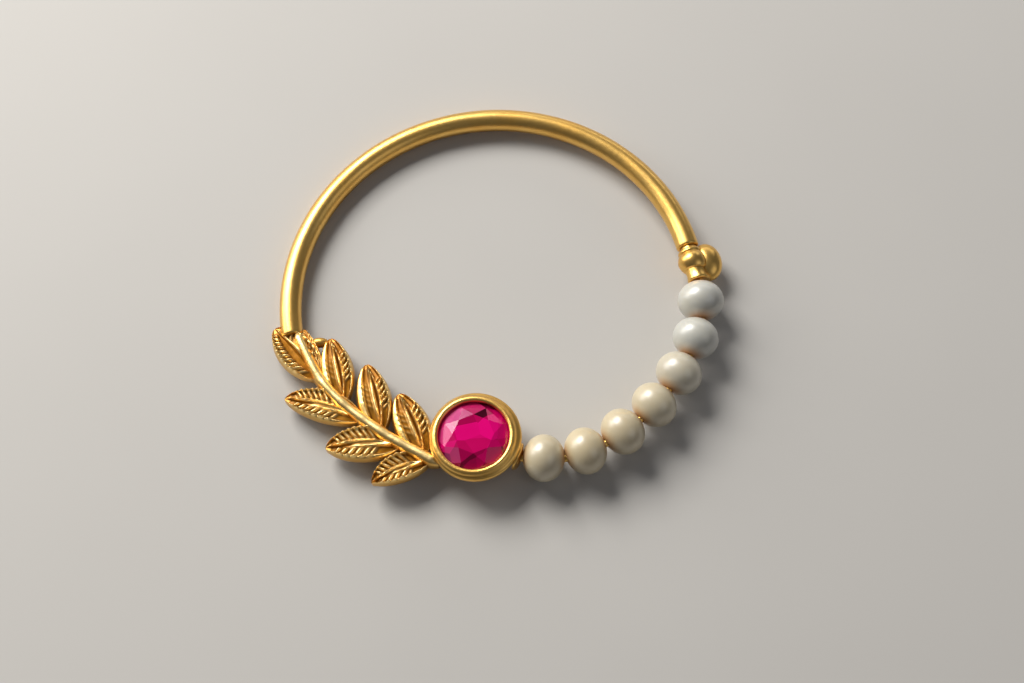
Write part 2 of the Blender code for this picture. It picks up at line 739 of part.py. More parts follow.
def lay_down(things):
    """Rest the ring on the ground: the face of its hull that lies under its middle goes flat."""
    points = world_points(things)
    middle = sum(points, Vector()) / len(points)
    work = bmesh.new()
    for point in points:
        work.verts.new(point)
    bmesh.ops.convex_hull(work, input=work.verts, use_existing_faces=False)
    down = Vector((0, 0, -1))
    resting = None
    for face in work.faces:
        if face.normal.dot(down) < 0.9:
            continue
        corners = [vertex.co for vertex in face.verts]
        flats = [Vector((corner.x - middle.x, corner.y - middle.y)) for corner in corners]
        turns = [flats[k - 1].cross(flats[k]) for k in range(len(flats))]
        if all(turn >= 0 for turn in turns) or all(turn <= 0 for turn in turns):
            resting = face.normal.copy()
    work.free()
    tilt = resting.rotation_difference(down).to_matrix().to_4x4()
    laid = [tilt @ point for point in points]
    lows = [min(point[axis] for point in laid) for axis in range(3)]
    highs = [max(point[axis] for point in laid) for axis in range(3)]
    shift = Vector(((lows[0] + highs[0]) / 2, (lows[1] + highs[1]) / 2, lows[2]))
    ring = bpy.data.objects.new("ring", None)
    bpy.context.collection.objects.link(ring)
    for thing in things:
        thing.parent = ring
    ring.matrix_world = Matrix.Translation(-shift) @ tilt
    bpy.context.view_layer.update()
    return ring


def main():
    clear_scene()
    gold = (0.83, 0.53, 0.18)
    string = pearl_route()
    hoop = build_hoop()
    sprig = build_sprig_setting(string)
    ruby = build_ruby()
    pearls = build_pearls(string)
    clasp = build_clasp(string)
    finish(hoop, material("drawn_gold", gold, 0.28, 1.0), 40)
    finish(sprig, material("cast_gold", gold, 0.34, 1.0), 40)
    finish(clasp, material("polished_gold", gold, 0.22, 1.0), 40)
    finish(ruby, material("ruby_red", (0.55, 0.0, 0.14), 0.05, 0.0), 5)
    finish(pearls[0], material("pearl_cream", (0.85, 0.78, 0.66), 0.2, 0.0), 50)
    lay_down([hoop, sprig, ruby, clasp] + pearls)


main()
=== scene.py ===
"""Looks of a nath nose ring: satin gold hoop, cast leaf sprig, ruby in its bezel, pearls and clasp.

The pieces are laid out in millimetres in the ring's own plane, round the hoop's centre, with +X to
the clasp, and then settled on the ground as the solids lie.
"""
import math

import bmesh
import bpy
import numpy as np
from mathutils import Matrix, Vector
from mathutils.geometry import interpolate_bezier


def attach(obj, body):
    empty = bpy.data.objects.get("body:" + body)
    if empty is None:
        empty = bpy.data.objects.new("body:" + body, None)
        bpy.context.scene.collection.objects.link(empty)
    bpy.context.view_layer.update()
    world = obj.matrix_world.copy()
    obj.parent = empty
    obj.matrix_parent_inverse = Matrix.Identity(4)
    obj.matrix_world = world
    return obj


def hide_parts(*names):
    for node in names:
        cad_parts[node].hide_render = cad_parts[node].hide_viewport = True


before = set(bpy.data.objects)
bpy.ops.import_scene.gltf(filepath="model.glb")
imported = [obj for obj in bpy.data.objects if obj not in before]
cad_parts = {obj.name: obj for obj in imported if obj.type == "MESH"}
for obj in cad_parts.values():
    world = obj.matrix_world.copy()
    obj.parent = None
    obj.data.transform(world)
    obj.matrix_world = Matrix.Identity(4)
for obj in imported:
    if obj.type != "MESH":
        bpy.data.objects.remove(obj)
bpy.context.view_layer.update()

# How the ring lies on the ground: the axes and the centre of its own plane, in metres
MM = 0.001
RING_AXES = ((0.999682, 0.000296, -0.025219), (0.000296, 0.999725, 0.023458), (0.025219, -0.023458, 0.999407))
RING_CENTRE = (-0.000335, -0.000654, 0.001187)
SETTLE = Matrix.Translation(RING_CENTRE) @ Matrix(RING_AXES).to_4x4() @ Matrix.Scale(MM, 4)

# Hoop wire: diameters and angles at the sprig and at the clasp
HOOP_RADIUS = 13.5
WIRE_DIAMETERS = (1.45, 1.5)
HOOP_ANGLES = (186.9, 10.5)
SPRING_IN = 0.1
SPRING_ARC = 45.0
WIRE_SIDES = 56
WIRE_END_ROUNDING = 0.14

# Clasp: the collar follows the hoop, the cap meets the first pearl. Rows of the collar hold a share of
# its length and of its radius, and rows of the cap a share of the way to the pearl and of its radius.
COLLAR_ANGLES = (9.5, 8.0)
COLLAR_DIAMETER = 1.56
COLLAR_PROFILE = ((0.55, 0.5), (0.5, 0.72), (0.1, 0.76), (0.0, 0.86), (-0.12, 0.95), (-0.35, 1.0),
                  (-0.65, 1.0), (-0.88, 0.95), (-1.0, 0.88))
BEAD_ANGLE = 5.74
BEAD_DIAMETER = 1.9
BEAD_STRETCH = (-0.62, 0.6)
CAP_DIAMETER = 1.5
CAP_PROFILE = ((0.42, 0.9), (0.55, 0.885), (0.7, 0.9), (0.82, 0.95), (0.92, 0.985), (0.97, 0.97),
               (0.995, 0.9), (1.0, 0.7))
KNOB_SIZE = (2.0, 1.6, 2.66)
KNOB_OFFSET = (1.0, 0.04, -0.32)

# Pearls and their wire
STRING_POINTS = ((13.6311, -0.0573), (13.0, -4.05), (9.774, -8.4375), (5.0625, -11.259), (0.8536, -11.2278))
STRING_START = (0.1001, -0.995)
STRING_END = (-0.9613, 0.2756)
PEARL_COUNT = 7
PEARL_DIAMETER = 3.05
PEARL_PITCH = 2.739
PEARL_GAP = 0.03
PEARL_SHADES = (0.85, 0.9, 0.5, 0.25, 0.15, 0.1, 0.2)
PEARL_SIZE_CHANGE = 0.012
PEARL_SEED = 4
PEARL_WIRE_DIAMETER = 0.5
DRILL_CLEARANCE = 0.05
FIT_GAP = 0.06

# Bezel. Rows of the cup hold a radius, a height and a share of the way from the cup's middle to the
# stone's; rows of the plate a radius and a lift off the band; rows of the neck a depth and a radius.
STONE_CENTRE = (-1.96, -9.9)
CUP_CENTRE = (-1.87, -9.9)
CUP_FLOOR = -1.3
CUP_OUTSIDE = ((1.2, CUP_FLOOR, 0), (1.9, CUP_FLOOR, 0), (2.02, -1.2, 0), (2.2, -0.85, 0), (2.5, -0.21, 0),
               (2.72, 0.25, 0), (2.91, 0.63, 0), (2.95, 0.83, 0), (2.92, 0.98, 0), (2.84, 1.08, 0.2),
               (2.77, 1.12, 0.5), (2.71, 1.15, 0.8), (2.66, 1.23, 1), (2.59, 1.32, 1), (2.48, 1.37, 1),
               (2.37, 1.36, 1), (2.29, 1.31, 1), (2.26, 1.22, 1), (2.255, 1.12, 1), (2.26, 1.07, 1))
CUP_INSIDE = ((2.54, 0.9, 1), (2.56, 0.6, 1), (2.02, 0.27, 1), (1.5, -1.0, 1), (0.6, -1.0, 1))
CUP_SIDES = 96
LIP_GROOVE_RADIUS = 2.77
SADDLE_OUT = (0.8988, -0.4384)
SADDLE_POINT = STRING_POINTS[-1]
SADDLE_BEND = 2.96
SADDLE_GAP = 0.02
SADDLE_PROFILE = ((0.5, -0.09), (0.84, -0.09), (0.9, -0.05), (0.9, 0.03), (0.86, 0.075), (0.5, 0.085),
                  (0.1, 0.085))
NECK_PROFILE = ((-0.5, 0.56), (-0.05, 0.56), (0.0, 0.54), (0.05, 0.46), (0.08, 0.36), (0.1, 0.25))

# Ruby: radii and levels from the table down, then each facet's painted light and shade and how much
# painted reflection it gets, counted round from the right.
RUBY_TURN = 40.0
TABLE_RADIUS = 1.3
CROWN_RADIUS = 1.96
RUBY_RADIUS = 2.5
PAVILION_RADIUS = 0.75
RUBY_TABLE = 1.5
GIRDLE_TOP = 0.82
GIRDLE_LOW = 0.7
RUBY_POINT = -0.85
PAVILION_SHARE = 0.28
TABLE_PAINTED_LIGHT = 0.6
STAR_PAINTED_LIGHT = ((0.06, 0), (0.62, 0.5), (0.68, 0.3), (0.5, 0.05), (0.45, 0), (0.4, 0), (0.5, 0), (0.58, 0))
KITE_PAINTED_LIGHT = ((0.55, 0.12), (0.7, 0.62), (0.75, 0.3), (0.4, 0.3), (0.22, 0), (0.35, 0), (0.5, 0), (0.5, 0))
HALF_PAINTED_LIGHT = ((0.2, 0), (0.12, 0), (0.45, 0.05), (0.6, 0.25), (0.62, 0.2), (0.6, 0.1), (0.55, 0),
              (0.42, 0.05), (0.3, 0), (0.18, 0), (0.12, 0), (0.22, 0), (0.3, 0), (0.4, 0), (0.45, 0),
              (0.3, 0))
GIRDLE_PAINTED_LIGHT = 0.3
PAVILION_PAINTED_LIGHT = (0.3, 0.4, 0.35)

# Stem of the sprig, the seat of the hoop's tang and the bridge by the first inner leaf
STEM_POINTS = ((-13.095, -1.5525), (-11.2725, -5.4675), (-8.1, -8.6805), (-4.2525, -11.3805))
BRIDGE_POINT = (-11.62, -2.2)
BRIDGE_WAY = (1.0, -0.1)
BRIDGE_SIZE = (0.34, 0.34, 0.6)
STEM_HALF_WIDTH = 0.37
STEM_WIDENING = 0.06
STEM_KNOT = 0.03
STEM_HEIGHT = 0.76
STEM_DEPTH = 0.45
TANG_SEAT = (0.55, 0.42, 1.0)
TANG_SEAT_BACK = 0.4
TANG_SEAT_SINK = 0.3

# Leaves. Spacings are for the left and right sides; stretches say where along a leaf its veins begin
# and end, as shares.
LEAF_LENGTH = 4.7
LEAF_HALF_WIDTH = 1.2
BASE_FULLNESS = 0.68
TIP_FULLNESS = 0.72
LEAF_TIP = 0.5
FIELD_LEVEL = 0.42
RIM_HEIGHT = 0.16
RIB_HEIGHT = 0.25
VEIN_HEIGHT = 0.24
TROUGH_DEPTH = 0.1
VEIN_SPACING = {"inner": (0.4, 0.42), "outer": (0.47, 0.38), "end": (0.36, 0.4)}
VEIN_SHARPNESS = {"inner": 1.1, "outer": 0.7, "end": 0.5}
VEIN_STRETCH = {"inner": (0.26, 0.74), "outer": (0.26, 0.88), "end": (0.14, 0.92)}
VEIN_SLANT = 0.42
LEAF_DEPTH = 0.45
LEAF_EDGE_DROP = 0.45
LEAF_ARCH = 0.18
LEAF_UNEVENNESS = 0.018
LEAF_ROWS = 124
LEAF_COLUMNS = 38
LEAF_UNDERSIDE_COLUMNS = 8

# Studio: the camera in millimetres and degrees, the floor and the lights in metres; each light's
# place, size, power and colour
CAMERA_ELEVATION = 67.36
CAMERA_ROLL = -4.78
CAMERA_DISTANCE = 100.0
CAMERA_TARGET = (0.943, -3.245, 0.0)
CAMERA_FOCUS_PIXELS = 1530.0
PHOTO_WIDTH_PIXELS = 1024.0
SENSOR_WIDTH = 36.0
LIGHTS = (
    ("key_light", (-0.12, 0.175, 0.185), (0.17, 0.13), 1.0, (1.0, 0.98, 0.95)),
    ("side_light", (-0.24, 0.11, 0.1), (0.14, 0.12), 0.3, (1.0, 0.97, 0.92)),
    ("fill_light", (0.2, -0.12, 0.2), (0.2, 0.16), 0.07, (0.98, 0.98, 1.0)),
    ("back_light", (0.1, 0.25, 0.09), (0.24, 0.06), 0.08, (1.0, 0.98, 0.95)),
)
FLOOR_HALF_SIZE = 0.6


# Shader and geometry nodes

class Value:
    """A socket that plain arithmetic can use."""

    def __init__(self, nodes, socket):
        self.nodes = nodes
        self.socket = socket

    def maths(self, operation, *values):
        return self.nodes.node("ShaderNodeMath", {"operation": operation}, *values)

    def __add__(self, other):
        return self.maths("ADD", self, other)

    def __radd__(self, other):
        return self.maths("ADD", other, self)

    def __sub__(self, other):
        return self.maths("SUBTRACT", self, other)

    def __rsub__(self, other):
        return self.maths("SUBTRACT", other, self)

    def __mul__(self, other):
        return self.maths("MULTIPLY", self, other)

    def __rmul__(self, other):
        return self.maths("MULTIPLY", other, self)

    def clamped(self):
        return self.maths("MAXIMUM", self.maths("MINIMUM", self, 1.0), 0.0)


class Nodes:
    """A node tree in the making."""

    def __init__(self, tree):
        self.tree = tree

    def put(self, socket, value):
        if isinstance(value, Value):
            self.tree.links.new(value.socket, socket)
        elif value is not None:
            socket.default_value = value

    def node(self, kind, settings, *values, output=0, **named):
        """Add a node: its settings first, then the values or links of its sockets."""
        made = self.tree.nodes.new(kind)
        for key, value in settings.items():
            if key == "stops":
                ramp = made.color_ramp
                while len(ramp.elements) < len(value):
                    ramp.elements.new(0.5)
                for element, (place, colour) in zip(ramp.elements, value):
                    element.position = place
                    element.color = colour
            else:
                setattr(made, key, value)
        for socket, value in zip(made.inputs, values):
            self.put(socket, value)
        for key, value in named.items():
            self.put(made.inputs[key.replace("_", " ")], value)
        return Value(self, made.outputs[output])


class Finish(Nodes):
    """A material in the making, with its Principled shader."""

    def __init__(self, name, **constants):
        self.material = bpy.data.materials.new(name)
        self.material.use_nodes = True
        super().__init__(self.material.node_tree)
        self.shader = self.tree.nodes["Principled BSDF"]
        for socket, value in constants.items():
            self.shader.inputs[socket.replace("_", " ")].default_value = value

    def feed(self, socket, value):
        self.put(self.shader.inputs[socket], value)

    def place(self):
        return self.node("ShaderNodeTexCoord", {}, output="Object")

    def noise(self, scale, detail=3.0, roughness=0.55):
        return self.node("ShaderNodeTexNoise", {}, Vector=self.place(), Scale=scale, Detail=detail,
                         Roughness=roughness)

    def attribute(self, name):
        return self.node("ShaderNodeAttribute", {"attribute_name": name}, output="Fac")

    def mix(self, factor, first, second):
        """Mix two colours, which are the node's seventh and eighth sockets."""
        skipped = [None] * 5
        return self.node("ShaderNodeMix", {"data_type": "RGBA"}, factor, *skipped, first, second, output=2)

    def bump(self, height, distance, strength=1.0):
        return self.node("ShaderNodeBump", {}, Strength=strength, Distance=distance, Height=height)


class Recipe(Nodes):
    """A tree of geometry nodes with named inputs; its last input is the finish."""

    def __init__(self, name, **inputs):
        super().__init__(bpy.data.node_groups.new(name, "GeometryNodeTree"))
        interface = self.tree.interface
        for label, kind in {"Geometry": "Geometry", **inputs, "Finish": "Material"}.items():
            interface.new_socket(label.replace("_", " "), in_out="INPUT", socket_type="NodeSocket" + kind)
        interface.new_socket("Geometry", in_out="OUTPUT", socket_type="NodeSocketGeometry")
        self.inputs = self.tree.nodes.new("NodeGroupInput").outputs

    def given(self, label):
        """One of the tree's named inputs."""
        return Value(self, self.inputs[label])

    def kept(self, name, kind="FLOAT"):
        """A named attribute of the points."""
        return self.node("GeometryNodeInputNamedAttribute", {"data_type": kind}, Name=name)

    def close(self, geometry):
        """End the tree: instances made real, faces smooth and the finish put on."""
        real = self.node("GeometryNodeRealizeInstances", {}, geometry)
        smooth = self.node("GeometryNodeSetShadeSmooth", {}, real)
        painted = self.node("GeometryNodeSetMaterial", {}, smooth, Material=self.given("Finish"))
        self.put(self.tree.nodes.new("NodeGroupOutput").inputs["Geometry"], painted)
        return self.tree


def run_tree(tree, mesh, **values):
    """Run a tree on a mesh and return the plain mesh that it makes."""
    carrier = placed("carrier", mesh)
    modifier = carrier.modifiers.new("make", "NODES")
    modifier.node_group = tree
    identifiers = {item.name: item.identifier for item in tree.interface.items_tree if item.in_out == "INPUT"}
    for label, value in values.items():
        modifier[identifiers[label.replace("_", " ")]] = value
    bpy.context.view_layer.update()
    made = bpy.data.meshes.new_from_object(carrier.evaluated_get(bpy.context.evaluated_depsgraph_get()))
    carrier.modifiers.clear()
    bpy.data.objects.remove(carrier, do_unlink=True)
    bpy.data.meshes.remove(mesh)
    return made


# Finishes

def rgb(red, green, blue):
    """A linear colour from screen values out of 255."""
    return tuple((value / 255) ** 2.2 for value in (red, green, blue)) + (1.0,)


def gold(name, roughness, grain, painted_shading):
    """Satin yellow gold; cast pieces get a darker, redder painted shade in recesses and undersides,
    and a lighter painted highlight, partly polish from rubbing, on ridges.
    """
    finish = Finish(name, Metallic=1.0, Coat_Weight=0.22, Coat_Roughness=0.32)
    cloud = finish.noise(420.0, 3.0)
    fine = finish.noise(5200.0, 4.0, 0.6)
    bright, warm, painted_shade_gold = rgb(246, 204, 120), rgb(232, 176, 82), rgb(136, 86, 8)
    colour = finish.mix(cloud, bright, warm)
    rough = roughness + (fine - 0.5) * 0.16 + (cloud - 0.5) * 0.1
    if painted_shading:
        # Painted shade: recesses, undersides and leaf margins are mixed towards a dark red gold; depth here
        # is the amount of painted shade
        depth = (finish.attribute("hollow") + (cloud - 0.5) * 0.2).clamped()
        colour = finish.mix(depth, colour, painted_shade_gold)
        # Painted highlight, partly polish from rubbing: ribs, veins, rim crests and the stem's top are mixed
        # towards a light gold
        worn = finish.attribute("worn")
        colour = finish.mix(worn * 0.85, colour, rgb(255, 224, 154))
        rough = rough + depth * 0.2
    finish.feed("Base Color", colour)
    finish.feed("Roughness", rough.clamped())
    height = fine * 0.5 + finish.noise(1500.0, 3.0) * 0.5
    finish.feed("Normal", finish.bump(height, grain))
    return finish.material


def pearl_finish():
    """Cream nacre: a warm body under a soft cool sheen, a shade different on each pearl, with a painted gold
    reflection at the drill holes.
    """
    finish = Finish("pearl_nacre", IOR=1.7, Subsurface_Weight=0.12, Subsurface_Scale=0.0005,
                    Subsurface_Radius=(1.0, 0.8, 0.5), Coat_Weight=0.55, Coat_Roughness=0.33, Coat_IOR=1.7)
    shade = finish.attribute("pearl_shade")
    gold_reflection = finish.attribute("warm_end")
    cloud = finish.noise(500.0, 4.0, 0.6)
    cream, cool, reflected_gold = rgb(200, 182, 144), rgb(186, 188, 184), rgb(190, 130, 56)
    body = finish.mix(shade, cream, cool)
    body = finish.mix((cloud - 0.42).clamped() * 0.7, body, rgb(212, 202, 168))
    # Painted reflection: the gold's warm colour mixed in round each drill hole, where the pearls meet
    finish.feed("Base Color", finish.mix((gold_reflection * 0.85).clamped(), body, reflected_gold))
    finish.feed("Roughness", (0.3 + cloud * 0.14).clamped())
    finish.feed("Normal", finish.bump(finish.noise(1700.0, 2.0), 0.00001, 0.5))
    return finish.material


def ruby_finish():
    """Clear magenta-red stone: each facet is painted lighter or darker for the light on it, some with a
    painted reflection, and all with a faint painted glow.
    """
    # A faint painted glow: the stone is given a little light of its own
    finish = Finish("ruby_stone", IOR=1.76, Specular_IOR_Level=0.16, Emission_Strength=0.12)
    tone = finish.attribute("tone")
    pale = finish.attribute("pale")
    cloud = finish.noise(900.0, 2.0)
    patches = finish.node("ShaderNodeTexVoronoi", {}, output="Color", Vector=finish.place(), Scale=820.0)
    stops = ((0.0, rgb(56, 0, 26)), (0.3, rgb(136, 0, 62)), (0.6, rgb(176, 0, 82)), (1.0, rgb(214, 6, 112)))
    # Painted light and shade: each facet is painted from dark wine to bright magenta as the light falls on
    # it, broken by random patches
    depth = tone + (cloud - 0.5) * 0.1 + (patches - 0.45) * 0.9
    colour = finish.node("ShaderNodeValToRGB", {"stops": stops}, depth.clamped())
    # Painted reflection: a pink-white mixed in on the facets that face the lamps
    colour = finish.mix((pale * (0.8 + cloud * 0.4)).clamped(), colour, rgb(190, 96, 144))
    finish.feed("Base Color", colour)
    finish.feed("Roughness", (0.1 + cloud * 0.08).clamped())
    # Painted glow colour, brighter on the facets painted lighter
    finish.feed("Emission Color", finish.mix(tone, rgb(60, 0, 20), rgb(200, 0, 80)))
    return finish.material


# Shapes

def flat(pair):
    """A point or direction in the ring's plane."""
    return Vector((pair[0], pair[1], 0.0))


def across(direction):
    """The level direction to the right of another."""
    return Vector((direction.y, -direction.x, 0.0)).normalized()


class Path:
    """A smooth path through points in the ring's plane, measured along its length."""

    def __init__(self, pairs, start=None, end=None):
        points = [flat(pair) for pair in pairs]
        last = len(points) - 1
        slopes = [(points[min(k + 1, last)] - points[max(k - 1, 0)]).normalized() for k in range(last + 1)]
        slopes[0] = flat(start).normalized() if start else slopes[0]
        slopes[last] = flat(end).normalized() if end else slopes[last]
        self.samples = []
        for k in range(last):
            reach = (points[k + 1] - points[k]).length / 3
            handles = (points[k] + slopes[k] * reach, points[k + 1] - slopes[k + 1] * reach)
            piece = interpolate_bezier(points[k], *handles, points[k + 1], 40)
            self.samples += piece if k == last - 1 else piece[:-1]
        steps = [(b - a).length for a, b in zip(self.samples, self.samples[1:])]
        self.distances = [0.0] + np.cumsum(steps).tolist()
        self.length = self.distances[-1]

    def at(self, distance):
        k = int(np.clip(np.searchsorted(self.distances, distance), 1, len(self.samples) - 1))
        span = self.distances[k] - self.distances[k - 1]
        return self.samples[k - 1].lerp(self.samples[k], (distance - self.distances[k - 1]) / span)

    def direction(self, distance):
        step = self.length / 120
        return (self.at(distance + step) - self.at(distance - step)).normalized()


def hoop_point(angle):
    """A point on the hoop's centre line, which draws in a little towards the clasp."""
    turn = math.radians(angle)
    drawn = min(1.0, max(0.0, 1.0 - (angle - HOOP_ANGLES[1]) / SPRING_ARC))
    return Vector((math.cos(turn), math.sin(turn), 0.0)) * (HOOP_RADIUS - SPRING_IN * drawn * drawn)


def hoop_heading(angle):
    """The hoop's direction towards the clasp."""
    return (hoop_point(angle - 0.5) - hoop_point(angle + 0.5)).normalized()


def hoop_degrees(length):
    """The angle that a length takes up along the hoop."""
    return math.degrees(length / HOOP_RADIUS)


def facing(point, axis):
    """The placing of a piece made along +Z, so that it points along a level axis."""
    turn = Matrix((-across(axis), Vector((0, 0, 1)), axis.normalized())).transposed().to_4x4()
    return Matrix.Translation(point) @ turn


class Shell:
    """Points and faces of one piece, with a number per point for each of its attributes."""

    def __init__(self):
        self.points = []
        self.faces = []
        self.numbers = {}

    def add(self, points, faces, **numbers):
        base = len(self.points)
        self.points += [tuple(point) for point in points]
        self.faces += [tuple(base + k for k in face) for face in faces]
        for name in sorted(set(self.numbers) | set(numbers)):
            kept = self.numbers.setdefault(name, [0.0] * base)
            kept += list(numbers.get(name, [0.0] * len(points)))

    def rings(self, rings, ends=(None, None), **numbers):
        """Skin rings of points into a closed body; each end closes on a point or its middle."""
        count = len(rings[0])
        points = [point for ring in rings for point in ring]
        faces = []
        for j in range(len(rings) - 1):
            for k in range(count):
                n = (k + 1) % count
                faces.append((j * count + k, j * count + n, (j + 1) * count + n, (j + 1) * count + k))
        for end, first in zip(ends, (0, (len(rings) - 1) * count)):
            ring = rings[0] if first == 0 else rings[-1]
            tip = end if end is not None else sum((Vector(p) for p in ring), Vector()) / count
            points.append(tip)
            for k in range(count):
                faces.append((first + k, first + (k + 1) % count, len(points) - 1))
        for name, values in numbers.items():
            numbers[name] = list(values) + [values[0], values[-1]]
        self.add(points, faces, **numbers)

    def mesh(self, domain="POINT"):
        """The plain mesh, not yet settled, with its numbers on its points or on each face's corners."""
        mesh = bpy.data.meshes.new("plain")
        mesh.from_pydata([tuple(point) for point in self.points], [], self.faces)
        for key, values in self.numbers.items():
            if domain == "CORNER":
                values = [values[loop.vertex_index] for loop in mesh.loops]
            mesh.attributes.new(key, "FLOAT", domain).data.foreach_set("value", values)
        return mesh


def placed(name, data):
    """A new object in the scene, at the origin."""
    thing = bpy.data.objects.new(name, data)
    bpy.context.collection.objects.link(thing)
    return thing


def finished(mesh, name, material, sharp=50.0):
    """Settle a mesh on the ground as a finished piece; edges past the sharp angle stay crisp."""
    mesh.name = name
    mesh.transform(SETTLE)
    work = bmesh.new()
    work.from_mesh(mesh)
    bmesh.ops.remove_doubles(work, verts=work.verts, dist=1e-7)
    bmesh.ops.dissolve_degenerate(work, edges=work.edges, dist=1e-8)
    bmesh.ops.recalc_face_normals(work, faces=work.faces)
    work.to_mesh(mesh)
    work.free()
    mesh.materials.clear()
    mesh.materials.append(material)
    if sharp:
        mesh.shade_smooth()
        mesh.set_sharp_from_angle(angle=math.radians(sharp))
    else:
        mesh.shade_flat()
    return placed(name, mesh)


def circle(point, axis, radius, sides):
    """A ring of points square to a level axis."""
    side = across(axis)
    ring = []
    for k in range(sides):
        angle = math.tau * k / sides
        ring.append(point + radius * (side * math.cos(angle) + Vector((0, 0, math.sin(angle)))))
    return ring


def smoothed(profile, times):
    """Round off a profile's corners by cutting them again and again."""
    rows = [np.array(row, float) for row in profile]
    for _ in range(times):
        cut = [rows[0]]
        for a, b in zip(rows, rows[1:]):
            cut += [a * 0.75 + b * 0.25, a * 0.25 + b * 0.75]
        rows = cut + [rows[-1]]
    return [tuple(row.tolist()) for row in rows]


def soft_noise(x, y, seed):
    """Slow hand-made unevenness, about -1 to 1."""
    slow = math.sin(1.7 * x + seed) * math.cos(2.3 * y - 1.3 * seed)
    middle = 0.6 * math.sin(3.9 * x - 2.1 * y + 2 * seed)
    quick = 0.4 * math.cos(6.1 * y + 4.3 * x + 3 * seed)
    return (slow + middle + quick) / 2


def hump(x, centre, width):
    """A smooth bump, 1 at its centre."""
    return math.exp(-((x - centre) / width) ** 2)


def step_up(x, start, width):
    """A smooth rise from 0 to 1."""
    share = min(max((x - start) / width, 0.0), 1.0)
    return share * share * (3 - 2 * share)


def add_egg(shell, placing, halves, sides=48, steps=28, **numbers):
    """An egg-shaped body, with closed poles."""
    rings = []
    for k in range(1, steps):
        angle = math.pi * k / steps
        ring = []
        for j in range(sides):
            turn = math.tau * j / sides
            ring.append(placing @ Vector((math.sin(angle) * math.cos(turn) * halves[0],
                                          math.sin(angle) * math.sin(turn) * halves[1],
                                          math.cos(angle) * halves[2])))
        rings.append(ring)
    ends = (placing @ Vector((0, 0, halves[2])), placing @ Vector((0, 0, -halves[2])))
    count = sides * (steps - 1)
    shell.rings(rings, ends, **{name: [value] * count for name, value in numbers.items()})


def line_mesh(points, thickness):
    """A line of edges through points, with a thickness at each."""
    mesh = bpy.data.meshes.new("line")
    mesh.from_pydata([tuple(p) for p in points], [(k, k + 1) for k in range(len(points) - 1)], [])
    layer = mesh.attributes.new("thickness", "FLOAT", "POINT")
    layer.data.foreach_set("value", thickness)
    return mesh


def bar_tree():
    """Sweep a round bar along a line of points; each point's thickness scales the diameter."""
    recipe = Recipe("bar_along_line", Diameter="Float", Sides="Int")
    line = recipe.node("GeometryNodeMeshToCurve", {}, Mesh=recipe.given("Geometry"))
    line = recipe.node("GeometryNodeSetCurveNormal", {}, Curve=line)
    profile = recipe.node("GeometryNodeCurvePrimitiveCircle", {}, Resolution=recipe.given("Sides"),
                          Radius=recipe.given("Diameter") * 0.5)
    return recipe.close(recipe.node("GeometryNodeCurveToMesh", {}, Curve=line, Profile_Curve=profile,
                                    Scale=recipe.kept("thickness"), Fill_Caps=True))


# Hoop

def build_hoop(bar, material):
    """The wire: barely uneven along its length, with softly rounded ends."""
    first, last = HOOP_ANGLES
    begin, end = WIRE_DIAMETERS
    lead = hoop_degrees(WIRE_END_ROUNDING)
    cut = WIRE_END_ROUNDING / (begin / 2)
    end_steps, steps = 6, 300
    turns = [math.pi / 2 * k / end_steps for k in range(end_steps + 1)]
    angles = [first - lead * (1 - math.cos(turn)) for turn in turns]
    thickness = [1 - cut * (1 - math.sin(turn)) for turn in turns]
    for k in range(1, steps):
        share = k / steps
        angles.append((first - lead) + (last + 2 * lead - first) * share)
        uneven = 1 + 0.004 * math.sin(37 * share) + 0.003 * math.sin(91 * share)
        thickness.append((begin + (end - begin) * share) / begin * uneven)
    angles += [last + lead * (1 - math.sin(turn)) for turn in turns]
    thickness += [end / begin - cut * (1 - math.cos(turn)) for turn in turns]
    points = [hoop_point(angle) for angle in angles]
    made = run_tree(bar, line_mesh(points, thickness), Diameter=begin, Sides=WIRE_SIDES, Finish=material)
    return finished(made, "hoop", material)


# Leaf sprig

class Leaf:
    """Where a leaf grows on the stem, its size, and how its relief is drawn."""

    def __init__(self, place, turn, length, widths, bow, kind, veins, bands):
        self.place = place
        self.turn = turn
        self.length = length * LEAF_LENGTH
        self.halves = tuple(width * LEAF_HALF_WIDTH for width in widths)
        self.flatness = min(1.0, sum(widths) / 1.6)
        self.bow = bow
        self.kind = kind
        self.veins = veins
        self.bands = bands


# The end leaf and its side cheek, then the inner and outer leaves in turn. Each row: place along the
# stem, turn, length, widths, bow of the rib, kind, strength of the veins, and where the rim begins.
LEAVES = (
    Leaf(0.265, 8, 1.03, (1.12, 1.00), 0.02, "end", (1.2, 0.4), (0.84, 0.8)),
    Leaf(0.29, -15, 0.88, (0.40, 0.34), 0.03, "end", (0.0, 0.3), (0.7, 0.75)),
    Leaf(0.445, -35, 1.03, (0.96, 0.85), 0.02, "inner", (0.1, 1.0), (0.62, 0.8)),
    Leaf(0.57, 20, 1.16, (0.86, 1.00), 0.03, "outer", (1.1, 0.9), (0.76, 0.86)),
    Leaf(0.68, -42, 1.05, (1.04, 0.86), 0.02, "inner", (0.1, 1.0), (0.62, 0.8)),
    Leaf(0.795, 31, 1.05, (0.98, 1.06), 0.03, "outer", (1.1, 0.9), (0.76, 0.86)),
    Leaf(0.92, -38, 1.01, (1.04, 0.92), 0.02, "inner", (0.15, 1.0), (0.62, 0.8)),
    Leaf(0.95, 50, 0.85, (0.70, 0.95), 0.03, "outer", (1.0, 1.0), (0.76, 0.86)),
)


def leaf_outline(share):
    """Half width along a leaf, as a share of its widest."""
    widest = BASE_FULLNESS / (BASE_FULLNESS + TIP_FULLNESS)
    share = min(max(share, 0.0), 1.0)
    return (share / widest) ** BASE_FULLNESS * ((1 - share) / (1 - widest)) ** TIP_FULLNESS


